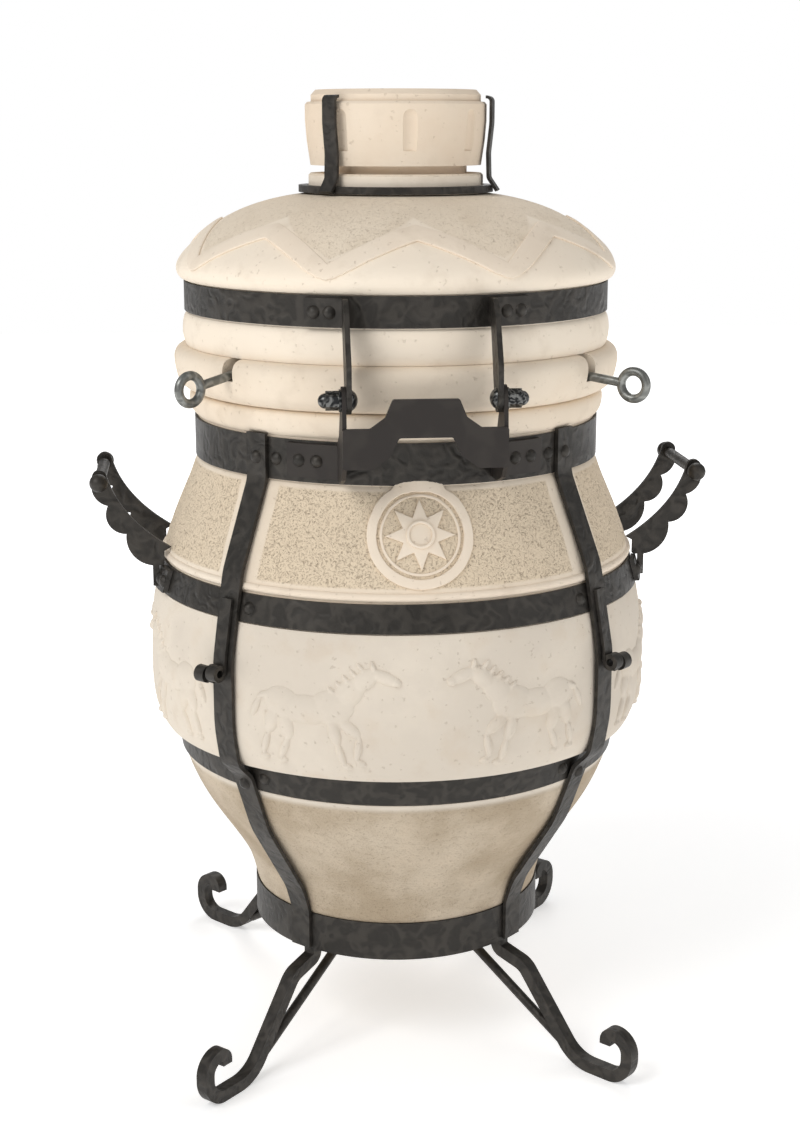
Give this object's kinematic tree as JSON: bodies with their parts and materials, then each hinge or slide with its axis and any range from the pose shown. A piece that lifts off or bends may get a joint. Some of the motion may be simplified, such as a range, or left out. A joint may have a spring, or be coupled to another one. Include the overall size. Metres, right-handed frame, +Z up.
{
  "type": "clay oven",
  "caption": "Round clay barrel oven in a forged steel frame on scroll legs, with a hinged clay lid, a lift-off smoke-hole cap, side handles and tool hooks.",
  "frame": {"origin": "on the vessel's axis, on the floor between the feet", "axes": "+Z up, -Y towards the lid hinge, X along the hinge axis and through the side handles"},
  "size_m": [0.6452, 0.5411, 1.008],
  "materials": {
    "clay": "matt fired fireclay",
    "forged_steel": "hammered, blackened",
    "galvanised": "galvanised",
    "cast_iron": "raw cast",
    "fasteners": "blackened zinc"
  },
  "bodies": {
    "oven": {"band_rivets": "forged_steel", "base_ring": "forged_steel", "brace_1": "forged_steel", "brace_2": "forged_steel", "brace_3": "forged_steel", "brace_4": "forged_steel", "bracket_rivets": "forged_steel", "fire_grate": "cast_iron", "handle_left_balls": "forged_steel", "handle_left_bar": "forged_steel", "handle_left_plate_1": "forged_steel", "handle_left_plate_2": "forged_steel", "handle_right_balls": "forged_steel", "handle_right_bar": "forged_steel", "handle_right_plate_1": "forged_steel", "handle_right_plate_2": "forged_steel", "handle_rivets": "forged_steel", "hinge_bolts": "fasteners", "hinge_cap_nuts": "fasteners", "hinge_ear_left": "forged_steel", "hinge_ear_right": "forged_steel", "hinge_nuts": "fasteners", "hinge_stop_plate": "forged_steel", "hinge_washers": "fasteners", "leg_1": "forged_steel", "leg_2": "forged_steel", "leg_3": "forged_steel", "leg_4": "forged_steel", "low_band": "forged_steel", "mid_band": "forged_steel", "neck_band": "forged_steel", "strap_1": "forged_steel", "strap_2": "forged_steel", "strap_3": "forged_steel", "strap_4": "forged_steel", "tool_hook_left": "forged_steel", "tool_hook_right": "forged_steel", "vessel": "clay"},
    "lid": {"lid_dome": "clay", "lid_band": "forged_steel", "hinge_arm_left": "forged_steel", "hinge_arm_right": "forged_steel", "lid_rivets": "forged_steel", "cap_ring": "forged_steel", "cap_strap_1": "forged_steel", "cap_strap_2": "forged_steel", "cap_strap_3": "forged_steel"},
    "cap": {"cap": "clay"},
    "rod_left": {"rod_left": "galvanised"},
    "rod_right": {"rod_right": "galvanised"},
    "vent_plug": {"vent_plug": "clay"}
  },
  "joints": [
    {"name": "lid_hinge", "type": "hinge", "parent": "oven", "child": "lid", "pos_m": [0, -0.255, 0.725], "axis": [1, 0, 0], "range_deg": [0, 118]},
    {"name": "cap_lift", "type": "slide", "parent": "lid", "child": "cap", "axis": [0, 0, 1], "range_m": [0, 0.13]},
    {"name": "rod_left_draw", "type": "slide", "parent": "oven", "child": "rod_left", "axis": [-0.7727, -0.6347, 0], "range_m": [0, 0.5]},
    {"name": "rod_right_draw", "type": "slide", "parent": "oven", "child": "rod_right", "axis": [0.7727, -0.6347, 0], "range_m": [0, 0.5]},
    {"name": "vent_plug_draw", "type": "slide", "parent": "oven", "child": "vent_plug", "axis": [0, 1, 0], "range_m": [0, 0.11]}
  ]
}
